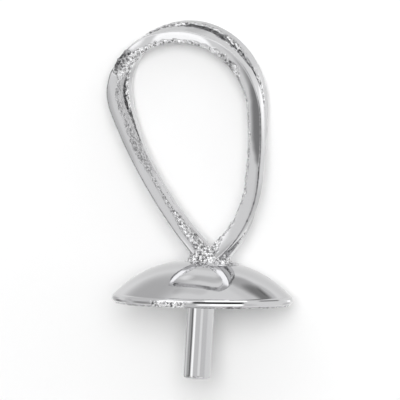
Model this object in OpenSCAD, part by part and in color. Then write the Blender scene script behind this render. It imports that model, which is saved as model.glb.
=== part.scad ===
// Mount for a pearl pendant: a bail of two strands, a short solder neck, a shallow domed
// cup and the peg that goes into a half-drilled pearl. Soldered metal, so one solid.
// It is drawn flat on its back, +Y running from the peg to the bail, and then tilted onto
// the cup's rim and the top of the bail, which is how it lies on a table. Millimetres.

/* [Cup] */
// Outer diameter of the cup
cup_diameter = 5.5; // [4.5:0.1:8]
// Height of the upright band round the rim
rim_height = 0.18; // [0.1:0.01:0.4]
// Rise of the dome above the rim band
dome_height = 1.13; // [0.8:0.01:2]
// Radius of the dome's shoulder, seen from the side
shoulder_radius = 3.2; // [2.8:0.05:5]
// Thickness of the cup's sheet
sheet = 0.28; // [0.2:0.01:0.5]

/* [Peg] */
// Diameter of the peg, a little under the pearl's drilled hole
peg_diameter = 0.8; // [0.6:0.05:1.2]
// How far the peg stands out below the rim
peg_reach = 2.26; // [1:0.01:4]
// Chamfer round the peg's free end
peg_chamfer = 0.06; // [0.02:0.01:0.15]

/* [Neck] */
// Diameter of the solder neck
neck_diameter = 1.07; // [0.8:0.01:1.4]
// Height of the neck above the dome
neck_height = 0.32; // [0.2:0.01:0.6]
// How far the neck sits to the right of the cup's centre
neck_offset = 0.2; // [0:0.01:0.4]
// Radius of the solder's fillet on the dome
neck_fillet = 0.25; // [0.1:0.01:0.4]

/* [Bail] */
// Width of the front strand across its path, at its right foot
front_width = 0.46; // [0.3:0.01:0.6]
// Width of the front strand at its left foot
front_width_left = 0.36; // [0.3:0.01:0.6]
// Width of the strand behind
back_width = 0.34; // [0.3:0.01:0.6]
// Depth of a strand, front to back, at the top of the bail
top_depth = 0.48; // [0.4:0.01:0.8]
// Depth of a strand where it leaves the neck
foot_depth = 0.36; // [0.25:0.01:0.6]
// Slit between the two strands
slit = 0.04; // [0.02:0.01:0.1]
// Bevel along a strand's edges
strand_bevel = 0.06; // [0.02:0.01:0.1]
// Forward lean of the bail from the top of the cup
bail_lean = 7; // [0:0.5:20]

/* [Rest] */
// Turn about the long axis in which the mount comes to rest
rest_roll = 1.9; // [-5:0.1:5]

/* [Hidden] */
$fn = 96;
bend_step = 5; // degrees between the stations of a strand

// Outer edge of each strand: where it starts, its heading, then its bends as
// [outer radius, turn], up the right leg, over the top and down the left leg.
front_start = [0.65, 1.47];
front_heading = 38.5;
front_bends = [[3.62, 43.6], [12.3, 10.2], [2.55, 148.8], [1.55, 42.4], [2.06, 8], [14.7, 19]];
back_start = [0.69, 1.35];
back_heading = 43.7;
back_bends = [[3.22, 33.6], [16, 11.3], [2.41, 156.1], [1.85, 33.4], [6.35, 19.2], [10, 18.4]];

cup_radius = cup_diameter / 2;
peg_radius = peg_diameter / 2;
neck_radius = neck_diameter / 2;
cup_height = rim_height + dome_height;

// The dome is a shoulder arc round a small flat, which the neck covers.
shoulder_y = cup_height - shoulder_radius;
flat_radius = cup_radius - sqrt(shoulder_radius ^ 2 - (shoulder_radius - dome_height) ^ 2);
hollow_radius = shoulder_radius - sheet;
hollow_top = cup_height - sheet;

// Stations along a strand's outer edge, each a point and a heading
function along(d) = [cos(d), sin(d)];
function outward(d) = [sin(d), -cos(d)];
function course(p, heading, bends, i = 0) =
    i == len(bends) ? [[p, heading]]
    : let (r = bends[i][0], turn = bends[i][1], centre = p - r * outward(heading), n = ceil(turn / bend_step))
      concat(
          [for (s = [0:n - 1]) [centre + r * outward(heading + turn * s / n), heading + turn * s / n]],
          course(centre + r * outward(heading + turn), heading + turn, bends, i + 1)
      );

front_course = course(front_start, front_heading, front_bends);
back_course = course(back_start, back_heading, back_bends);
bail_left = min([for (s = concat(front_course, back_course)) s[0][0]]);
front_top = max([for (s = front_course) s[0][1]]);
back_top = max([for (s = back_course) s[0][1]]);

// Depth of a strand at a distance along the bail
function depth_at(y) = foot_depth + (top_depth - foot_depth) * (y - cup_height) / (back_top - cup_height);
bail_half = slit / 2 + top_depth;

// Where a point of the upright bail goes as the bail leans
function lean_y(y, z) = cup_height + (y - cup_height) * cos(bail_lean) - z * sin(bail_lean);
function lean_z(y, z) = (y - cup_height) * sin(bail_lean) + z * cos(bail_lean);

// The mount rests on the rim and on the lowest edge of the bail.
touch_y = back_top - strand_bevel;
rest_tilt = atan((cup_radius + lean_z(touch_y, -bail_half)) / (lean_y(touch_y, -bail_half) - rim_height));
lift = cup_radius * cos(rest_tilt) + rim_height * sin(rest_tilt);
function reach(y, z) = lean_y(y, z) * cos(rest_tilt) + lean_z(y, z) * sin(rest_tilt);
far_end = max(reach(front_top, bail_half - strand_bevel), reach(back_top, -slit / 2 - strand_bevel));
near_end = -peg_reach * cos(rest_tilt) - peg_radius * sin(rest_tilt);
middle_x = (bail_left + cup_radius) / 2;
middle_y = (far_end + near_end) / 2;

// One leg of a strand, from station to station. Its foot, at the station numbered by foot,
// runs straight on to the middle of the neck, where it meets the other leg's. side is 1 for
// the strand in front, which lies uppermost, and -1 for the one behind.
module leg(course, widths, side, foot) {
    b = strand_bevel;
    last = len(course) - 1;
    points = [
        for (i = [0:last])
            let (
                w = widths[0] + (widths[1] - widths[0]) * i / last,
                edge = course[i][0],
                heading = course[i][1],
                d = depth_at(edge[1]),
                lo = side > 0 ? slit / 2 : -slit / 2 - d
            )
            for (q = [[0, b], [0, d - b], [b, d], [w - b, d], [w, d - b], [w, b], [w - b, 0], [b, 0]])
                let (
                    p = edge - q[0] * outward(heading),
                    on = i == foot ? p + along(heading) * (neck_offset - p[0]) / cos(heading) : p
                )
                [on[0], on[1], lo + q[1]]
    ];
    faces = concat(
        [[for (j = [7:-1:0]) j]],
        [for (i = [0:last - 1]) for (j = [0:7]) let (k = (j + 1) % 8) [i * 8 + j, i * 8 + k, i * 8 + k + 8, i * 8 + j + 8]],
        [[for (j = [0:7]) last * 8 + j]]
    );
    polyhedron(points, faces, convexity = 6);
}

module strand(course, widths, side) {
    half = ceil(len(course) / 2) + 2; // the legs meet a little past the top
    last = len(course) - 1;
    mid = (widths[0] + widths[1]) / 2;
    leg([for (i = [0:half]) course[i]], [widths[0], mid], side, 0);
    leg([for (i = [half:last]) course[i]], [mid, widths[1]], side, last - half);
}

module bail() {
    translate([0, cup_height, 0])
        rotate([bail_lean, 0, 0])
            translate([0, -cup_height, 0]) {
                strand(front_course, [front_width, front_width_left], 1);
                strand(back_course, [back_width, back_width], -1);
            }
}

module neck_profile() {
    foot = cup_height - sheet / 2;
    top = cup_height + neck_height;
    crown = neck_height / 2;
    toe = neck_radius + neck_fillet;
    sink = 0.04; // the dome falls away by this much under the toe
    difference() {
        union() {
            translate([0, foot]) square([neck_radius, top - crown - foot]);
            translate([0, foot]) square([neck_radius - crown, top - foot]);
            translate([neck_radius - crown, top - crown]) circle(r = crown);
            translate([0, foot]) square([toe, cup_height - foot + neck_fillet - sink]);
        }
        translate([toe, cup_height + neck_fillet - sink]) circle(r = neck_fillet);
    }
}

module neck() {
    translate([neck_offset, 0, 0]) rotate([-90, 0, 0]) rotate_extrude() neck_profile();
}

module dome_profile() {
    square([cup_radius, rim_height]);
    square([flat_radius, cup_height]);
    intersection() {
        translate([flat_radius, shoulder_y]) circle(r = shoulder_radius);
        square([cup_radius, cup_height]);
    }
}

// The pearl's side of the cup, cut out of everything but the peg
module hollow_profile() {
    translate([0, -1]) square([flat_radius, hollow_top + 1]);
    intersection() {
        translate([flat_radius, shoulder_y]) circle(r = hollow_radius);
        translate([0, -1]) square([cup_diameter, cup_height + 1]);
    }
}

module cup() {
    rotate([-90, 0, 0]) rotate_extrude() dome_profile();
}

module hollow() {
    rotate([-90, 0, 0]) rotate_extrude() hollow_profile();
}

module peg() {
    root = hollow_top + sheet / 2;
    rotate([-90, 0, 0]) {
        translate([0, 0, peg_chamfer - peg_reach]) cylinder(r = peg_radius, h = peg_reach - peg_chamfer + root);
        translate([0, 0, -peg_reach]) cylinder(r1 = peg_radius - peg_chamfer, r2 = peg_radius, h = peg_chamfer);
    }
}

module at_rest() {
    translate([-middle_x, -middle_y, lift])
        rotate([-rest_tilt, 0, 0])
            rotate([0, rest_roll, 0])
                children();
}

module pearl_mount() {
    color([0.78, 0.79, 0.8])
        at_rest() {
            difference() {
                union() {
                    cup();
                    neck();
                    bail();
                }
                hollow();
            }
            peg();
        }
}

pearl_mount();
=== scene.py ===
import math

import bmesh
import bpy
from mathutils import Matrix, Vector, noise
from mathutils.kdtree import KDTree


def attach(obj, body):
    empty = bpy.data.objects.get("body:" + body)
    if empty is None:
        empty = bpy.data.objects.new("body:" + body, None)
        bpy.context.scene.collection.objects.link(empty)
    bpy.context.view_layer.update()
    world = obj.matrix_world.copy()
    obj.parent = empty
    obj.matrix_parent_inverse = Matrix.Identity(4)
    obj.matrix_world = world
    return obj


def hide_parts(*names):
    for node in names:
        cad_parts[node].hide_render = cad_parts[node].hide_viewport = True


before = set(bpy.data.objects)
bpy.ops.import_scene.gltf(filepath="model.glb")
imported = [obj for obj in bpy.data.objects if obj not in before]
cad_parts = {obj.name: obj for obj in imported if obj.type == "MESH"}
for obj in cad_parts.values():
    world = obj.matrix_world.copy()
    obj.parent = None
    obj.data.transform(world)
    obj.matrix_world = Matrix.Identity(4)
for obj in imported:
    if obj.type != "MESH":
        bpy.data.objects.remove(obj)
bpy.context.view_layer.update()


# How the mount lies. Every piece is drawn flat in millimetres, +Y from the peg to the bail
# and +Z towards the viewer, and then laid down on the cup's rim and the top of the bail.
rest = {
    "tilt": 20.5921,        # degrees, the bail down
    "roll": 1.9,            # degrees, about the mount's length
    "middle": (-0.067175, 3.001488),    # of the lying mount, which stands over the origin
    "lift": 2.637606,       # of the rim's centre above the floor
}
mm = 0.001
lay = (
    Matrix.Translation((-rest["middle"][0], -rest["middle"][1], rest["lift"]))
    @ Matrix.Rotation(math.radians(-rest["tilt"]), 4, "X")
    @ Matrix.Rotation(math.radians(rest["roll"]), 4, "Y")
)
place = Matrix.Scale(mm, 4) @ lay


# Camera
cameraSet = {
    "azimuth": 22,              # degrees to the right of straight ahead
    "elevation": 2.9,           # degrees above the cup's rim
    "roll": 1.7,                # degrees
    "aim": (-0.1595, 3.134),    # picture centre, right of and above the middle of the rim
    "field": 12.08,             # width of the picture on the mount
    "distance": 400,
    "sensor": 36,
    "clip": (0.01, 5),          # metres
}


def addCamera(s):
    a, e, k = (math.radians(s[n]) for n in ("azimuth", "elevation", "roll"))
    back = Vector((math.cos(e) * math.sin(a), math.sin(e), math.cos(e) * math.cos(a)))
    right = Vector((math.cos(a), 0, -math.sin(a)))
    up = back.cross(right)
    aim = right * s["aim"][0] + up * s["aim"][1]
    rolledRight = right * math.cos(k) + up * math.sin(k)
    rolledUp = up * math.cos(k) - right * math.sin(k)
    turn = Matrix((rolledRight, rolledUp, back)).transposed().to_4x4()
    camera = bpy.data.objects.new("camera", bpy.data.cameras.new("camera"))
    bpy.context.scene.collection.objects.link(camera)
    spot = lay @ (aim + back * s["distance"])
    camera.matrix_world = Matrix.Translation(spot * mm) @ lay.to_3x3().to_4x4() @ turn
    camera.data.sensor_width = s["sensor"]
    camera.data.lens = s["sensor"] * s["distance"] / s["field"]
    camera.data.clip_start, camera.data.clip_end = s["clip"]
    bpy.context.scene.camera = camera


addCamera(cameraSet)


# Shared effects, each a node group that the metals below use with their own values
def newGroup(name, inputs, outputs):
    group = bpy.data.node_groups.new(name, "ShaderNodeTree")
    for label, kind, value in inputs:
        socket = group.interface.new_socket(name=label, in_out="INPUT", socket_type=kind)
        socket.default_value = value
    for label, kind in outputs:
        group.interface.new_socket(name=label, in_out="OUTPUT", socket_type=kind)
    return group, group.nodes.new("NodeGroupInput"), group.nodes.new("NodeGroupOutput")


def addNode(tree, kind, **settings):
    node = tree.nodes.new(kind)
    for key, value in settings.items():
        setattr(node, key, value)
    return node


def addMath(tree, operation, first, second):
    node = addNode(tree, "ShaderNodeMath", operation=operation)
    for socket, value in zip(node.inputs, (first, second)):
        if isinstance(value, (int, float)):
            socket.default_value = value
        else:
            tree.links.new(value, socket)
    return node.outputs[0]


def addNoise(tree, vector, scale, detail=2, roughness=0.5):
    node = addNode(tree, "ShaderNodeTexNoise")
    node.inputs["Detail"].default_value = detail
    node.inputs["Roughness"].default_value = roughness
    if isinstance(scale, (int, float)):
        node.inputs["Scale"].default_value = scale
    else:
        tree.links.new(scale, node.inputs["Scale"])
    tree.links.new(vector, node.inputs["Vector"])
    return node.outputs[0]


def addMapping(tree, vector, scale, turn=(0, 0, 0)):
    node = addNode(tree, "ShaderNodeMapping")
    node.inputs["Scale"].default_value = scale
    node.inputs["Rotation"].default_value = turn
    tree.links.new(vector, node.inputs["Vector"])
    return node.outputs[0]


def addRange(tree, value, fromMin, fromMax, toMin, toMax):
    node = addNode(tree, "ShaderNodeMapRange")
    labels = ("From Min", "From Max", "To Min", "To Max")
    for label, number in zip(labels, (fromMin, fromMax, toMin, toMax)):
        node.inputs[label].default_value = number
    tree.links.new(value, node.inputs["Value"])
    return node.outputs[0]


def addMix(tree, factor, first, second):
    node = addNode(tree, "ShaderNodeMix", data_type="RGBA")
    tree.links.new(factor, node.inputs["Factor"])
    for label, value in (("A", first), ("B", second)):
        if isinstance(value, tuple):
            node.inputs[label].default_value = (*value, 1)
        else:
            tree.links.new(value, node.inputs[label])
    return node.outputs["Result"]


# Hairlines left by the polishing wheel, in two crossing directions
polishSet = {
    "along": ((38, 2.2, 38), (0, 0, 0.5)),      # lines in a millimetre each way, and their turn
    "across": ((3, 30, 3), (0.4, 0, -0.3)),
    "patches": 2.2,                             # worn patches in a millimetre
}


def makePolishLines(s):
    group, start, end = newGroup(
        "polishLines",
        [("Vector", "NodeSocketVector", (0, 0, 0))],
        [("Height", "NodeSocketFloat"), ("Wear", "NodeSocketFloat")],
    )
    vector = start.outputs["Vector"]
    along, across = (addNoise(group, addMapping(group, vector, *s[n]), 1) for n in ("along", "across"))
    patch = addNoise(group, vector, s["patches"], 3)
    lines = addMath(group, "ADD", along, across)
    group.links.new(lines, end.inputs["Height"])
    group.links.new(addMath(group, "MULTIPLY", lines, patch), end.inputs["Wear"])
    return group


# Skin of metal as it came out of the mould or froze from the solder: lumpy grains with pits between
# them. The metals below paint the grain tops bright as glints and the pits dark as shade
skinSet = {
    "fine": 1.7,                # fine lumps to a grain
    "grainHeight": 0.8,         # of the grains, against the fine lumps
    "grainTops": (0.55, 0.9),       # heights at which the grain tops start and are full; they are painted bright as glints
}


def makeCastSkin(s):
    group, start, end = newGroup(
        "castSkin",
        [("Vector", "NodeSocketVector", (0, 0, 0)), ("Grain", "NodeSocketFloat", 14.0)],
        [("Height", "NodeSocketFloat"), ("GrainTops", "NodeSocketFloat")],
    )
    vector, grain = start.outputs["Vector"], start.outputs["Grain"]
    cells = addNode(group, "ShaderNodeTexVoronoi", feature="SMOOTH_F1")
    group.links.new(vector, cells.inputs["Vector"])
    group.links.new(grain, cells.inputs["Scale"])
    fine = addNoise(group, vector, addMath(group, "MULTIPLY", grain, s["fine"]), 4, 0.6)
    grains = addMath(group, "MULTIPLY", cells.outputs["Distance"], s["grainHeight"])
    height = addMath(group, "ADD", grains, fine)
    group.links.new(height, end.inputs["Height"])
    group.links.new(addRange(group, height, *s["grainTops"], 0, 1), end.inputs["GrainTops"])
    return group


polishLines = makePolishLines(polishSet)
castSkin = makeCastSkin(skinSet)


# A metal is polished where the piece's "cast" attribute is 0 and raw where it is 1; where raw, its grain
# tops are painted bright as glints and its pits dark as shade. Patches of painted shade and painted dark
# reflections come from a second attribute
def makeMetal(name, s):
    material = bpy.data.materials.new(name)
    material.use_nodes = True
    tree = material.node_tree
    shader = tree.nodes["Principled BSDF"]
    shader.inputs["Metallic"].default_value = 1
    coords = addNode(tree, "ShaderNodeTexCoord")
    vector = addMapping(tree, coords.outputs["Object"], (1 / mm,) * 3)
    raw = addNode(tree, "ShaderNodeAttribute", attribute_name="cast").outputs["Fac"]
    paintedShade = addNode(tree, "ShaderNodeAttribute", attribute_name="paintedShade").outputs["Fac"]
    lines = addNode(tree, "ShaderNodeGroup", node_tree=polishLines)
    skin = addNode(tree, "ShaderNodeGroup", node_tree=castSkin)
    skin.inputs["Grain"].default_value = s["grain"]
    for group in (lines, skin):
        tree.links.new(vector, group.inputs["Vector"])
    # colour: painted glints and painted pit shade where raw, then patches of painted shade and painted
    # dark reflections
    grains = addMix(tree, skin.outputs["GrainTops"], s["paintedShadeColour"], s["paintedGlintColour"])
    clean = addMix(tree, raw, s["colour"], grains)
    strength = addRange(tree, skin.outputs["GrainTops"], *s["paintedShadeOnGrainTops"], *s["paintedShadeStrength"])
    paintedDark = addMath(tree, "MULTIPLY", paintedShade, strength)
    tree.links.new(addMix(tree, paintedDark, clean, s["paintedShadeColour"]), shader.inputs["Base Color"])
    # roughness
    polished = addRange(tree, lines.outputs["Wear"], *s["wear"], *s["polish"])
    rough = addRange(tree, skin.outputs["GrainTops"], 1, 0, *s["raw"])
    blend = addNode(tree, "ShaderNodeMix", data_type="FLOAT")
    tree.links.new(raw, blend.inputs["Factor"])
    tree.links.new(polished, blend.inputs["A"])
    tree.links.new(rough, blend.inputs["B"])
    tree.links.new(blend.outputs["Result"], shader.inputs["Roughness"])
    # relief
    fine = addMath(tree, "MULTIPLY", lines.outputs["Height"], s["lineDepth"] * mm)
    coarse = addMath(tree, "MULTIPLY", skin.outputs["Height"], s["skinDepth"] * mm)
    coarse = addMath(tree, "MULTIPLY", coarse, raw)
    bump = addNode(tree, "ShaderNodeBump")
    bump.inputs["Distance"].default_value = 1
    tree.links.new(addMath(tree, "ADD", fine, coarse), bump.inputs["Height"])
    tree.links.new(bump.outputs["Normal"], shader.inputs["Normal"])
    return material


metalSet = {
    "colour": (0.62, 0.62, 0.63),
    # colour of the painted shade in pits and dark patches, then of the painted glints on grain tops
    "paintedShadeColour": (0.05, 0.05, 0.055),
    "paintedGlintColour": (0.97, 0.97, 0.98),
    "paintedShadeOnGrainTops": (0.3, 0.9),   # the painted shade is weaker where the grain tops stand higher than this
    "paintedShadeStrength": (1, 0.55),     # of the painted shade, in the pits and on the grain tops
    "wear": (0.2, 0.8),         # strengths of the hairlines that the polish runs between
    "polish": (0.04, 0.10),     # least and most roughness where it is polished
    "raw": (0.1, 0.3),          # and where it is not
    "lineDepth": 0.00012,
    "skinDepth": 0.035,
    "grain": 11.0,              # grains in a millimetre
}
polishedMetal = makeMetal("polishedMetal", metalSet)
solderMetal = makeMetal("solderMetal", {**metalSet, "skinDepth": 0.04, "grain": 10.0})


# Helpers for the pieces
mergeDistance = 0.0005      # corners closer than this are one


def smoothStep(low, high, value):
    t = min(max((value - low) / (high - low), 0), 1)
    return t * t * (3 - 2 * t)


def blendTable(table, t):
    for (t0, v0), (t1, v1) in zip(table, table[1:]):
        if t <= t1:
            return v0 + (v1 - v0) * smoothStep(t0, t1, t)
    return table[-1][1]


# Unevenness of a line along the metal, as waves of (height, size)
def raggedAt(spot, waves):
    return sum(height * noise.noise(spot / size) for height, size in waves)


def finishPiece(bm, name, material, stance=Matrix()):
    bmesh.ops.remove_doubles(bm, verts=bm.verts, dist=mergeDistance)
    bmesh.ops.recalc_face_normals(bm, faces=bm.faces)
    for face in bm.faces:
        face.smooth = True
    mesh = bpy.data.meshes.new(name)
    bm.to_mesh(mesh)
    bm.free()
    mesh.transform(place @ stance)
    mesh.materials.append(material)
    piece = bpy.data.objects.new(name, mesh)
    bpy.context.scene.collection.objects.link(piece)
    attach(piece, "root")
    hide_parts("pearl_mount")
    print(name, "made,", len(mesh.polygons), "faces")


# Strands of the bail. Each follows its outer edge through arcs of [outer radius, turn],
# from the right foot over the top to the left foot. In the tables the first number is the
# share of that way.
frontStrand = {
    "start": (0.65, 1.47),      # right of and above the middle of the rim
    "heading": 38.5,            # degrees
    "bends": ((3.62, 43.6), (12.3, 10.2), (2.55, 148.8), (1.55, 42.4), (2.06, 8), (14.7, 19)),
    "width": (0.46, 0.36),      # at the right foot and at the left one
    "feet": (0.56, 0.55),       # how far each foot runs on into the neck
    "side": 1,                  # 1 is in front, -1 behind
    "corners": (0.03, 0.05, 0.05, 0.04),    # outer front, inner front, inner back, outer back
    "crown": 0.008,             # how far the faces swell in the middle
    # degrees by which the front face turns outwards
    "twist": ((0, 0), (0.2, 0), (0.215, 2.4), (0.235, 4.4), (0.25, 5.4), (0.295, 5.2), (0.315, 4),
              (0.34, 2.4), (0.37, 1.5), (0.395, 0.5), (0.465, -9.5), (0.52, -10), (0.575, 0), (0.66, 0),
              (0.69, 2.5), (0.78, 2.5), (0.82, 0), (1, 0)),
    # rise of the feet, the right one passing in front of the left one
    "rise": ((0, 0.05), (0.08, 0), (0.92, 0), (1, -0.04)),
    # share of the front face left as cast, from its inner edge outwards
    "raw": ((0, 1), (0.03, 0.6), (0.06, 0.1), (0.3, 0.08), (0.35, 0.12), (0.375, 0.5), (0.41, 0.45),
            (0.44, 0.28), (0.56, 0.3), (0.59, 0.4), (0.6, 1.1), (0.632, 1.1), (0.65, 0.16), (0.74, 0.12),
            (0.77, 0.4), (0.81, 0.28), (0.83, 0.03), (0.865, 0.03), (0.885, 0.12), (0.92, 0.3),
            (0.955, 0.42), (0.985, 0.6)),
    # and how rough that is
    "rough": ((0, 1), (0.35, 0.7), (0.44, 0.8), (0.59, 0.9), (0.63, 0.9), (0.66, 0.3), (0.83, 0.3),
              (0.86, 1), (1, 1)),
    # how rough its inner back edge is
    "farEdge": ((0.6, 0), (0.64, 0.7), (0.86, 0.7), (0.9, 0)),
    # how dark it is painted, as painted dark reflections and painted shade, along its outer half, its
    # inner one and its outer edge
    "outerPaintedShade": ((0.585, 0), (0.6, 1), (0.63, 1), (0.64, 0)),
    "innerPaintedShade": ((0.365, 0), (0.38, 0.6), (0.4, 0.6), (0.42, 0), (0.64, 0), (0.67, 0.4), (0.82, 0.4),
                   (0.84, 0)),
    "edgePaintedShade": ((0.02, 0.3), (0.07, 0.9), (0.28, 0.9), (0.33, 0), (0.62, 0), (0.65, 0.5), (0.96, 0.6),
                  (1, 0.3)),
    "ragged": ((0.16, 0.25), (0.1, 0.08)),      # waves of the raw metal's edge
    "rawFade": 0.05,
    "bend": 0.5,                # width that the depth of the inner side counts for
    # where each zone starts and is full, as shares of the width from the outer edge
    "innerHalf": (0.4, 0.55),
    "innerSide": (0.93, 1),
    "innerEdge": (0.96, 0.99),
    # as shares of the depth from the back
    "backEdge": (0.12, 0.2),
    "frontEdge": (0.8, 0.95),
    "outerEdge": (0.03, 0.045),     # and in millimetres from the outer edge
}
backStrand = {
    "start": (0.69, 1.35),
    "heading": 43.7,
    "bends": ((3.22, 33.6), (16, 11.3), (2.41, 156.1), (1.85, 33.4), (6.35, 19.2), (10, 18.4)),
    "width": (0.34, 0.34),
    "feet": (0.33, 0.6),
    "side": -1,
    "corners": (0.03, 0.04, 0.04, 0.04),
    "crown": 0.004,
    "twist": ((0, 0), (1, 0)),
    "rise": ((0, 0), (1, 0)),
    # how far from the front strand's edge there is a gap painted black as shade, and the metal is left
    # as cast
    "gap": ((0, 0), (0.4, 0), (0.425, 0.065), (0.46, 0.065), (0.485, 0.04), (0.505, 0), (0.65, 0),
            (0.68, 0.015), (0.71, 0.03), (0.75, 0.08), (0.84, 0.07), (0.88, 0.03), (0.9, 0), (1, 0)),
    "raw": ((0, 0), (0.36, 0), (0.4, 0.11), (0.52, 0.11), (0.57, 0.05), (0.62, 0.16), (0.7, 0.14),
            (0.78, 0.02), (0.95, 0.02), (0.98, 0.12), (1, 0.2)),
    "ragged": ((0.04, 0.2), (0.02, 0.07)),
    "rawFade": 0.03,
    "gapFade": 0.01,            # to each side
    "fullGap": 0.07,            # a narrower gap is shallower
    "frontEdge": (0.5, 0.85),   # shares of the depth from which this reaches the front
}
strandSet = {
    "lean": 7,                  # degrees forward, from the top of the cup
    "depth": (0.36, 0.48),      # front to back, at the cup and at the top of the bail
    "heights": (1.31, 8.56495),     # of those two
    "slit": 0.04,               # between the strands
    "pitch": 0.03,              # between the rings of a strand
    "crevice": 0.1,             # depth of the gap beside the front strand
    "recess": 0.012,            # depth of the metal left as cast beside it
    "relief": (0.05, 0.025),    # of the front strand and of the one behind
    "grain": 0.1,
    "cornerSteps": 4,
    "faceCuts": 12,             # across each flat face of the section
    "shortEdge": 0.12,          # edges of the section up to this length are corners
    "onFace": 0.002,            # how close a point of a face is to the section's side
}


# The way that a heading points, and the way outwards from it
def heading(degrees):
    a = math.radians(degrees)
    return Vector((math.cos(a), math.sin(a), 0)), Vector((math.sin(a), -math.cos(a), 0))


# Stations along a strand: the outer edge's point, its heading and the share of the way
def strandCourse(s):
    pitch = strandSet["pitch"]
    point, angle = Vector((*s["start"], 0)), s["heading"]
    stations = [(point.copy(), angle)]
    for radius, turn in s["bends"]:
        centre = point - heading(angle)[1] * radius
        steps = math.ceil(math.radians(turn) * radius / pitch)
        stations += [(centre + heading(angle + turn * i / steps)[1] * radius, angle + turn * i / steps)
                     for i in range(1, steps + 1)]
        angle += turn
        point = centre + heading(angle)[1] * radius
    runs = [math.ceil(length / pitch) for length in s["feet"]]
    first, last = stations[0], stations[-1]
    before = [(first[0] - heading(first[1])[0] * pitch * i, first[1]) for i in range(runs[0], 0, -1)]
    after = [(last[0] + heading(last[1])[0] * pitch * i, last[1]) for i in range(1, runs[1] + 1)]
    stations = before + stations + after
    return [(p, a, i / (len(stations) - 1)) for i, (p, a) in enumerate(stations)]


def depthAt(y):
    low, high = strandSet["heights"]
    foot, top = strandSet["depth"]
    return foot + (top - foot) * (y - low) / (high - low)


def widthAt(s, t):
    return s["width"][0] + (s["width"][1] - s["width"][0]) * t


# Carries the section drawn in x (0 at the outer edge, -1 at the inner) and y (0 back, 1 front)
def sectionMatrix(s, station):
    point, angle, t = station
    out = heading(angle)[1]
    width, depth = widthAt(s, t), depthAt(point.y)
    low = strandSet["slit"] / 2 if s["side"] > 0 else -strandSet["slit"] / 2 - depth
    low += blendTable(s["rise"], t)
    front = Vector((0, 0, 1))
    turn = Matrix((out, front, out.cross(front))).transposed().to_4x4()
    middle = Matrix.Translation((-width / 2, depth / 2, 0))
    twist = Matrix.Rotation(math.radians(-blendTable(s["twist"], t)), 4, "Z")
    stand = Matrix.Translation(point + front * low) @ turn
    return stand @ middle @ twist @ middle.inverted() @ Matrix.Diagonal((width, depth, 1, 1))


def strandSection(bm, s):
    width, depth = s["width"][0], strandSet["depth"][0]
    bmesh.ops.create_grid(bm, x_segments=1, y_segments=1, size=0.5)
    bmesh.ops.translate(bm, verts=bm.verts, vec=(-0.5, 0.5, 0))
    bmesh.ops.scale(bm, verts=bm.verts, vec=(width, depth, 1))
    spots = ((0, depth), (-width, depth), (-width, 0), (0, 0))
    corners = [min(bm.verts, key=lambda v: (v.co.xy - Vector(spot)).length) for spot in spots]
    for corner, radius in zip(corners, s["corners"]):
        bmesh.ops.bevel(bm, geom=[corner], affect="VERTICES", offset=radius,
                        segments=strandSet["cornerSteps"], profile=0.5, material=-1)
    sides = [e for e in bm.edges if e.calc_length() > strandSet["shortEdge"]]
    bmesh.ops.subdivide_edges(bm, edges=sides, cuts=strandSet["faceCuts"])
    middle, half = (-width / 2, depth / 2), (width / 2, depth / 2)
    for v in bm.verts:    # the faces swell a little towards their middle
        for along, across in ((0, 1), (1, 0)):
            share = (v.co[along] - middle[along]) / half[along]
            reach = v.co[across] - middle[across]
            if abs(abs(reach) - half[across]) < strandSet["onFace"]:
                v.co[across] -= math.copysign(s["crown"] * share * share, reach)
    bmesh.ops.scale(bm, verts=bm.verts, vec=(1 / width, 1 / depth, 1))


# Sweeps the section ring by ring and notes, for every vertex, where on the strand it lies
def sweepStrand(s):
    bm = bmesh.new()
    names = ("cast", "paintedShade", "share", "inward", "height")
    layers = {name: bm.verts.layers.float.new(name) for name in names}
    strandSection(bm, s)
    section = list(bm.verts)
    for v in section:
        v[layers["inward"]], v[layers["height"]] = -v.co.x, v.co.y
    stations = strandCourse(s)
    matrices = [sectionMatrix(s, station) for station in stations]
    bmesh.ops.transform(bm, matrix=matrices[0], verts=section)
    edges = list(bm.edges)
    for old, new, station in zip(matrices, matrices[1:], stations[1:]):
        made = bmesh.ops.extrude_edge_only(bm, edges=edges)
        edges = [e for e in made["geom"] if isinstance(e, bmesh.types.BMEdge)]
        fresh = [v for v in made["geom"] if isinstance(v, bmesh.types.BMVert)]
        for v in fresh:
            v[layers["share"]] = station[2]
        bmesh.ops.transform(bm, matrix=new @ old.inverted(), verts=fresh)
    bmesh.ops.contextual_create(bm, geom=edges)
    return bm, layers, stations


def bailLean():
    hinge = Matrix.Translation((0, strandSet["heights"][0], 0))
    return hinge @ Matrix.Rotation(math.radians(strandSet["lean"]), 4, "X") @ hinge.inverted()


# Lumps the metal where it was left as cast. A deeper sink leaves less of it standing out.
def roughen(bm, cast, relief, grain, sink=0.4):
    bm.normal_update()
    moves = [(v, v.normal * (v[cast] * relief * (noise.fractal(v.co / grain, 0.6, 2.1, 4) - sink)))
             for v in bm.verts if v[cast] > 0.01]
    for v, move in moves:
        v.co += move


def dropLayers(bm):
    for name in ("share", "inward", "height"):
        bm.verts.layers.float.remove(bm.verts.layers.float[name])


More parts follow.
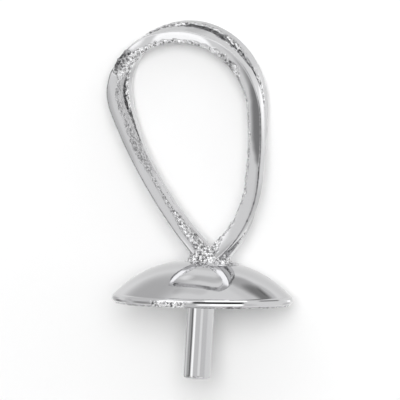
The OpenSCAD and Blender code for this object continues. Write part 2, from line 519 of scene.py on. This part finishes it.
# Leaves the front strand raw along its inner edges and paints dark reflections and shade on it in places
def wearFrontStrand(bm, layers, s):
    for v in bm.verts:
        t, inward, height = (v[layers[name]] for name in ("share", "inward", "height"))
        ragged = raggedAt(v.co, s["ragged"])
        # raw from the inner front corner outwards, and round it, and on the inner back edge
        fromCorner = 1 - inward + s["bend"] * (1 - height) + ragged
        clean = smoothStep(-s["rawFade"], s["rawFade"], fromCorner - blendTable(s["raw"], t))
        rough = (1 - clean) * blendTable(s["rough"], t)
        farEdge = smoothStep(*s["innerEdge"], inward) * (1 - smoothStep(*s["backEdge"], height))
        v[layers["cast"]] = max(rough, farEdge * blendTable(s["farEdge"], t))
        # painted dark reflections on one half or the other, inwards only where it is raw, and a painted
        # dark line of shade on the outer edge
        inner = smoothStep(*s["innerHalf"], inward + ragged)
        side = smoothStep(*s["innerSide"], inward)
        fromOuter = inward * widthAt(s, t)
        outerCorner = smoothStep(*s["frontEdge"], height) * (1 - smoothStep(*s["outerEdge"], fromOuter))
        paintedDark = blendTable(s["outerPaintedShade"], t) * (1 - inner)
        paintedDark += blendTable(s["innerPaintedShade"], t) * inner * max(1 - clean, side)
        v[layers["paintedShade"]] = max(paintedDark, blendTable(s["edgePaintedShade"], t) * outerCorner)


# Leaves a gap, sunk and painted black as shade, and a raw strip on the strand behind, beside the one in
# front
def wearBackStrand(bm, layers, s, front, frontCourse):
    frontLine = KDTree(len(frontCourse))
    for index, (point, angle, t) in enumerate(frontCourse):
        frontLine.insert(point - heading(angle)[1] * widthAt(front, t) / 2, index)
    frontLine.balance()
    for v in bm.verts:
        height = smoothStep(*s["frontEdge"], v[layers["height"]])
        if height > 0:
            index, away = frontLine.find((v.co.x, v.co.y, 0))[1:]
            beside = away - widthAt(front, frontCourse[index][2]) / 2
            ragged = raggedAt(v.co, s["ragged"])
            wide = blendTable(s["raw"], v[layers["share"]]) + ragged
            raw = (1 - smoothStep(wide, wide + s["rawFade"], beside)) * height
            # the gap is painted black as shade and sunk below the face
            gap = blendTable(s["gap"], v[layers["share"]])
            gap += ragged * min(gap / s["fullGap"], 1)
            paintedDark = 0
            if gap > 0:
                paintedDark = (1 - smoothStep(gap - s["gapFade"], gap + s["gapFade"], beside)) * height
            v[layers["cast"]], v[layers["paintedShade"]] = raw, paintedDark
            crevice = strandSet["crevice"] * paintedDark * min(gap / s["fullGap"], 1)
            v.co.z -= strandSet["recess"] * raw + crevice


frontMesh, frontLayers, frontCourse = sweepStrand(frontStrand)
wearFrontStrand(frontMesh, frontLayers, frontStrand)
roughen(frontMesh, frontLayers["cast"], strandSet["relief"][0], strandSet["grain"])
dropLayers(frontMesh)
finishPiece(frontMesh, "bailFrontStrand", polishedMetal, bailLean())

backMesh, backLayers, backCourse = sweepStrand(backStrand)
wearBackStrand(backMesh, backLayers, backStrand, frontStrand, frontCourse)
roughen(backMesh, backLayers["cast"], strandSet["relief"][1], strandSet["grain"])
dropLayers(backMesh)
finishPiece(backMesh, "bailBackStrand", polishedMetal, bailLean())


# Revolved pieces. A profile is drawn with x as the radius and y along the mount's axis.
def profileLine(bm, points):
    verts = [bm.verts.new((x, y, 0)) for x, y in points]
    for pair in zip(verts, verts[1:]):
        bm.edges.new(pair)


def arcPoints(centre, radius, start, end, steps):
    spans = [math.radians(start + (end - start) * i / steps) for i in range(steps + 1)]
    return [(centre[0] + radius * math.cos(a), centre[1] + radius * math.sin(a)) for a in spans]


def spinRound(bm, steps):
    bmesh.ops.spin(bm, geom=bm.verts[:] + bm.edges[:], cent=(0, 0, 0), axis=(0, 1, 0), angle=math.tau,
                   steps=steps, use_merge=True)
    bmesh.ops.remove_doubles(bm, verts=bm.verts, dist=mergeDistance)


cupSet = {
    "radius": 2.75,
    "rimHeight": 0.18,
    "domeHeight": 1.13,
    "shoulder": 3.2,            # radius of the dome's curve
    "sheet": 0.28,              # its thickness
    # radius and height of the rim's edges; the metal between two of them is nearly flat
    "rim": ((2.7, 0.252), (2.724, 0.21), (2.74, 0.148), (2.712, 0.078), (2.62, 0)),
    "rimShares": (0.04, 0.14, 0.86, 0.96),      # the profile's points from one edge to the next
    "steps": 360,
    "domeSteps": 44,
    "hollowSteps": 30,
    "turn": 0.6,                # degrees by which it sits askew
    "waves": (0.004, 1.1),      # height and size of the unevenness of the dome
    "edgeWaves": (0.03, 0.16),  # and of the rim's lower edge
    "edgeDip": 0.2,             # share of that height by which the edge comes down at most
    "edgeReach": (0.02, 0.08),  # heights between which that unevenness ends
    # darkness of the painted shade along the rim's lower edge
    "rimBand": 0.17,            # width of the rim, inwards
    "paintedDark": 0.75,
    "paintedDarkEdge": 0.025,         # height of the painted dark line of shade along the lower edge
    "paintedDarkWaves": ((1.2, 0.4), (0.5, 0.1)),
    "paintedDarkFade": 0.02,
    "scar": (-14, 12),          # degrees round the rim between which it is rough
    "scarFade": 4,
    "scarTop": (0.14, 0.18),    # heights between which the roughness ends
    "relief": 0.05,
    "grain": 0.08,
}


def makeCup(s):
    bm = bmesh.new()
    cast, paintedShade = (bm.verts.layers.float.new(name) for name in ("cast", "paintedShade"))
    top = s["rimHeight"] + s["domeHeight"]
    centreY = top - s["shoulder"]
    flat = s["radius"] - math.sqrt(s["shoulder"] ** 2 - (s["shoulder"] - s["domeHeight"]) ** 2)
    hollow = s["shoulder"] - s["sheet"]
    innerEnd = math.degrees(math.asin(-centreY / hollow))
    domeEnd = math.degrees(math.asin((s["rim"][0][1] - centreY) / s["shoulder"]))
    points = [(0, top), (flat / 2, top)]
    points += arcPoints((flat, centreY), s["shoulder"], 90, domeEnd, s["domeSteps"])
    for (x0, y0), (x1, y1) in zip(s["rim"], s["rim"][1:]):
        points += [(x0 + (x1 - x0) * t, y0 + (y1 - y0) * t) for t in s["rimShares"]]
    points += arcPoints((flat, centreY), hollow, innerEnd, 90, s["hollowSteps"])
    points += [(flat / 2, top - s["sheet"]), (0, top - s["sheet"])]
    profileLine(bm, points)
    spinRound(bm, s["steps"])
    return bm, cast, paintedShade


# Uneven dome, a ragged lower edge with a painted dark line of shade along it, and a rough scar on the
# rim
def wearCup(bm, cast, paintedShade, s):
    bmesh.ops.recalc_face_normals(bm, faces=bm.faces)
    bm.normal_update()
    (start, end), fade = s["scar"], s["scarFade"]
    moves = []
    for v in bm.verts:
        radius = math.hypot(v.co.x, v.co.z)
        moves.append((v, v.normal * s["waves"][0] * noise.fractal(v.co / s["waves"][1], 0.5, 2, 2)))
        if radius > s["radius"] - s["rimBand"]:
            low = 1 - smoothStep(*s["edgeReach"], v.co.y)
            lump = noise.fractal(v.co / s["edgeWaves"][1], 0.7, 2.1, 3)
            moves.append((v, Vector((0, max(lump, -s["edgeDip"]) * s["edgeWaves"][0] * low, 0))))
            turn = math.degrees(math.atan2(v.co.x, v.co.z))
            scarred = smoothStep(start, start + fade, turn) - smoothStep(end - fade, end, turn)
            v[cast] = scarred * (1 - smoothStep(*s["scarTop"], v.co.y))
            # a ragged dark line of painted shade along the lower edge, kept off the scar
            top = s["paintedDarkEdge"] * (1 + raggedAt(v.co, s["paintedDarkWaves"]))
            v[paintedShade] = s["paintedDark"] * (1 - smoothStep(top, top + s["paintedDarkFade"], v.co.y)) * (1 - scarred)
    for v, move in moves:
        v.co += move


cupMesh, cupCast, cupPaintedShade = makeCup(cupSet)
wearCup(cupMesh, cupCast, cupPaintedShade, cupSet)
roughen(cupMesh, cupCast, cupSet["relief"], cupSet["grain"])
finishPiece(cupMesh, "cup", polishedMetal, Matrix.Rotation(math.radians(cupSet["turn"]), 4, "Z"))


neckSet = {
    "radius": 0.57,
    "foot": 1.31,               # top of the cup
    "height": 0.4,              # above it
    "base": 1.17,               # in the cup's sheet
    "offset": 0.2,              # to the right of the cup's centre
    "crown": 0.12,              # radius of the upper edge
    "fillet": 0.33,             # radius of the fillet on the dome
    "sink": 0.06,               # of the fillet's toe, as the dome falls away
    "steps": 150,
    "rough": (-0.08, 0.03),     # heights from the top of the cup between which it gets rough
    "relief": 0.1,
    "grain": 0.13,
}


def makeNeck(s):
    bm = bmesh.new()
    cast = bm.verts.layers.float.new("cast")
    radius, foot, crown, fillet = (s[name] for name in ("radius", "foot", "crown", "fillet"))
    top, toe = foot + s["height"], foot + fillet - s["sink"]
    points = [(i / 12 * (radius - crown), top) for i in range(13)]
    points += arcPoints((radius - crown, top - crown), crown, 90, 0, 10)[1:]
    points += [(radius, top - crown - (top - crown - toe) * i / 3) for i in (1, 2)]
    points += arcPoints((radius + fillet, toe), fillet, 180, 270, 14)
    points += [(radius + fillet, s["base"]), (0, s["base"])]
    profileLine(bm, points)
    spinRound(bm, s["steps"])
    bmesh.ops.translate(bm, verts=bm.verts, vec=(s["offset"], 0, 0))
    low, high = s["rough"]
    for v in bm.verts:
        v[cast] = smoothStep(foot + low, foot + high, v.co.y)
    bmesh.ops.recalc_face_normals(bm, faces=bm.faces)
    roughen(bm, cast, s["relief"], s["grain"])
    return bm


finishPiece(makeNeck(neckSet), "solderNeck", solderMetal)


pegSet = {
    "radius": 0.4,
    "reach": 2.26,              # below the rim
    "root": 1.17,               # in the cup's sheet
    "endEdge": 0.07,            # radius of the rounded edge at its end
    "endRing": 0.2,
    "rings": 60,
    "steps": 120,
    "lean": 1.9,                # degrees
    "pivot": 1.1,               # height at which it leans
    "waves": (0.004, 0.7),      # height and size of its unevenness
    "waveLength": 0.4,          # share by which that is drawn out along it
}


def makePeg(s):
    bm = bmesh.new()
    radius, root, edge, end = s["radius"], s["root"], s["endEdge"], -s["reach"]
    points = [(0, root), (radius, root)]
    points += [(radius, root + (end + edge - root) * i / s["rings"]) for i in range(1, s["rings"])]
    points += arcPoints((radius - edge, end + edge), edge, 0, -90, 6)
    points += [(s["endRing"], end), (0, end)]
    profileLine(bm, points)
    spinRound(bm, s["steps"])
    for v in bm.verts:
        spot = Vector((v.co.x, v.co.y * s["waveLength"], v.co.z))
        wave = noise.fractal(spot / s["waves"][1], 0.5, 2, 2) * s["waves"][0]
        v.co += Vector((v.co.x, 0, v.co.z)) / radius * wave
    return bm


def pegLean(s):
    pivot = Matrix.Translation((0, s["pivot"], 0))
    return pivot @ Matrix.Rotation(math.radians(-s["lean"]), 4, "Z") @ pivot.inverted()


finishPiece(makePeg(pegSet), "peg", polishedMetal, pegLean(pegSet))


# Solder round the peg, in the hollow
pegSolderSet = {
    "radius": pegSet["radius"],
    "overlap": 0.05,            # into the peg
    "fillet": 0.16,
    "root": 1.1,                # in the cup's sheet
    "ceiling": 1.03,            # of the hollow
    "lip": 0.01,                # of the solder on the ceiling
    "steps": 120,
    "rough": 0.6,
    "relief": 0.05,
    "grain": 0.14,
}


def makePegSolder(s):
    bm = bmesh.new()
    cast = bm.verts.layers.float.new("cast")
    inside, outside, size = s["radius"] - s["overlap"], s["radius"] + s["fillet"], s["fillet"]
    points = [(inside, s["root"]), (inside, s["ceiling"] - size)]
    points += arcPoints((outside, s["ceiling"] - s["lip"] - size), size, 180, 90, 10)
    points += [(outside, s["root"])]
    profileLine(bm, points)
    bmesh.ops.contextual_create(bm, geom=[v for v in bm.verts if len(v.link_edges) == 1])
    spinRound(bm, s["steps"])
    bmesh.ops.recalc_face_normals(bm, faces=bm.faces)
    for v in bm.verts:
        v[cast] = s["rough"]
    roughen(bm, cast, s["relief"], s["grain"])
    return bm


finishPiece(makePegSolder(pegSolderSet), "pegSolder", solderMetal)


# Floor, lights and surroundings. The metal mirrors a light tent, its panels and the gaps
# between them. Three soft lights light the floor and throw the shadows.
stageSet = {
    "floorSize": 3.0,
    "floorColour": (0.9, 0.9, 0.9),
    "floorRoughness": 0.9,
    "walls": (0.97, 0.80),      # brightness of the tent below and above the horizon
    "horizon": (-0.1, 0.1),     # heights between which the one runs into the other
    "panelStep": 4,             # degrees
    # Each panel runs through directions given as azimuth and elevation. It is full within
    # the first angle from that line and gone past the second. A dark one takes light away.
    "panels": (
        {"path": ((-56, 61),), "full": 4, "gone": 13, "brightness": 0.75},      # line along the peg
        {"path": ((-75, 41),), "full": 3, "gone": 11, "brightness": -0.58},     # and the dark one by it
        {"path": ((69, 50),), "full": 3, "gone": 14, "brightness": 0.3},
        {"path": ((-70, 86),), "full": 4, "gone": 13, "brightness": -0.52},
        {"path": ((-88, 68),), "full": 6, "gone": 13, "brightness": 0.16},
        {"path": ((-102, 28),), "full": 12, "gone": 24, "brightness": -0.42},
        {"path": ((-96, 58),), "full": 3, "gone": 8, "brightness": -0.2},
        {"path": ((92, 56),), "full": 5, "gone": 13, "brightness": -0.5},
        {"path": ((150, 74),), "full": 5, "gone": 13, "brightness": -0.4},
        {"path": ((-125, -12),), "full": 10, "gone": 20, "brightness": -0.3},
        {"path": ((-78, -3),), "full": 3, "gone": 10, "brightness": -0.2},
        {"path": ((140, 57),), "full": 5, "gone": 12, "brightness": 0.7},
        {"path": ((169, 2),), "full": 3, "gone": 9, "brightness": -0.6},
        {"path": ((-45, -25),), "full": 8, "gone": 30, "brightness": -0.35},
        {"path": ((-110, -28),), "full": 6, "gone": 22, "brightness": -0.4},
        {"path": ((-27, -42),), "full": 1, "gone": 5, "brightness": 0.3},
        {"path": ((112, -71),), "full": 3, "gone": 8, "brightness": 0.1},
        {"path": ((165, -50),), "full": 5, "gone": 14, "brightness": -0.22},
        {"path": ((-36, -64),), "full": 3, "gone": 8, "brightness": -0.15},
        {"path": ((-100, -72),), "full": 12, "gone": 30, "brightness": -0.14},
        {"path": ((32, -68),), "full": 3, "gone": 9, "brightness": -0.25},
        {"path": ((-26, 26), (2, 30)), "full": 9, "gone": 16, "brightness": 1.5},
        {"path": ((20, 23), (26, 9), (32, -3), (40, -14)), "full": 5, "gone": 12, "brightness": 1.6},
        {"path": ((22, 42), (28, 39), (39, 32), (49, 24), (56, 15), (62, 6)), "full": 4, "gone": 9,
         "brightness": -0.8},
        {"path": ((55, -40), (62, -50), (67, -58)), "full": 3, "gone": 9, "brightness": -0.6},
        {"path": ((131, 42), (126, 24)), "full": 5, "gone": 12, "brightness": 1.1},
        {"path": ((3, -57), (25, -57), (44, -57)), "full": 3, "gone": 12, "brightness": -0.43},
        {"path": ((25, -57), (38, -56)), "full": 1, "gone": 9, "brightness": -0.27},
        {"path": ((18, -44), (27, -44)), "full": 3, "gone": 9, "brightness": -0.1},
        {"path": ((-19, -21), (-10, -23), (-4, -23)), "full": 1, "gone": 6, "brightness": -0.14},
        {"path": ((-19, -44), (-8, -45)), "full": 1, "gone": 7, "brightness": -0.25},
        {"path": ((149, -71),), "full": 4, "gone": 8.5, "brightness": 0.5},
        {"path": ((-121, 66),), "full": 4, "gone": 9.5, "brightness": 0.7},     # left foot of the bail
    ),
    # share of the floor's brightness that each light gives
    "key": {"toward": (0.38, 0.43, 0.82), "distance": 0.6, "size": 0.2, "floorTone": 0.51},
    "fill": {"toward": (0.47, 0.81, 0.35), "distance": 0.6, "size": 1.1, "floorTone": 0.22},
    "overhead": {"toward": (0, 0, 1), "distance": 0.6, "size": 3.0, "floorTone": 0.27},
}


def makeFloor(s):
    bm = bmesh.new()
    bmesh.ops.create_grid(bm, x_segments=1, y_segments=1, size=s["floorSize"] / 2)
    mesh = bpy.data.meshes.new("floor")
    bm.to_mesh(mesh)
    bm.free()
    floor = bpy.data.objects.new("floor", mesh)
    bpy.context.scene.collection.objects.link(floor)
    material = bpy.data.materials.new("paleFloor")
    material.use_nodes = True
    shader = material.node_tree.nodes["Principled BSDF"]
    shader.inputs["Base Color"].default_value = (*s["floorColour"], 1)
    shader.inputs["Roughness"].default_value = s["floorRoughness"]
    shader.inputs["Specular IOR Level"].default_value = 0
    mesh.materials.append(material)
    floor.visible_glossy = False


# A round soft light that gives the floor a wanted share of its brightness
def addSoftLight(name, s):
    data = bpy.data.lights.new(name, "AREA")
    data.shape = "DISK"
    data.size = s["size"]
    toward = Vector(s["toward"]).normalized()
    radius = s["size"] / 2
    seen = math.pi * radius ** 2 / (radius ** 2 + s["distance"] ** 2) * toward.z    # by the floor
    radiance = s["floorTone"] * math.pi / (stageSet["floorColour"][0] * seen)
    data.energy = radiance * math.pi * math.pi * radius ** 2
    light = bpy.data.objects.new(name, data)
    bpy.context.scene.collection.objects.link(light)
    turn = toward.to_track_quat("Z", "Y").to_matrix().to_4x4()
    light.matrix_world = Matrix.Translation(toward * s["distance"]) @ turn
    light.visible_glossy = False


# Directions close together along a panel's middle line
def panelPoints(path, step):
    turns = [(math.radians(azimuth), math.radians(elevation)) for azimuth, elevation in path]
    corners = [Vector((math.sin(a) * math.cos(e), math.cos(a) * math.cos(e), math.sin(e)))
               for a, e in turns]
    points = corners[:1]
    for start, end in zip(corners, corners[1:]):
        steps = math.ceil(start.angle(end) / math.radians(step))
        points += [start.slerp(end, i / steps) for i in range(1, steps + 1)]
    return points


def makeTent(s):
    world = bpy.data.worlds.new("tent")
    bpy.context.scene.world = world
    world.use_nodes = True
    world.cycles_visibility.diffuse = False
    tree = world.node_tree
    coords = addNode(tree, "ShaderNodeTexCoord").outputs["Generated"]
    height = addNode(tree, "ShaderNodeSeparateXYZ")
    tree.links.new(coords, height.inputs[0])
    tone = addRange(tree, height.outputs["Z"], *s["horizon"], *s["walls"])
    for panel in s["panels"]:
        nearest = None    # the cosine of the angle to the nearest point of the panel
        for direction in panelPoints(panel["path"], s["panelStep"]):
            facing = addNode(tree, "ShaderNodeVectorMath", operation="DOT_PRODUCT")
            tree.links.new(coords, facing.inputs[0])
            facing.inputs[1].default_value = direction
            facing = facing.outputs["Value"]
            nearest = addMath(tree, "MAXIMUM", nearest, facing) if nearest else facing
        edges = [math.cos(math.radians(panel[n])) for n in ("gone", "full")]
        glow = addRange(tree, nearest, *edges, 0, panel["brightness"])
        glow.node.interpolation_type = "SMOOTHSTEP"
        tone = addMath(tree, "ADD", glow, tone)
    tree.links.new(tone, tree.nodes["Background"].inputs["Strength"])
    tree.nodes["Background"].inputs["Color"].default_value = (1, 1, 1, 1)


makeFloor(stageSet)
addSoftLight("keyLight", stageSet["key"])
addSoftLight("fillLight", stageSet["fill"])
addSoftLight("overheadLight", stageSet["overhead"])
makeTent(stageSet)
bpy.context.scene.view_settings.view_transform = "Standard"
print("stage and lights made")
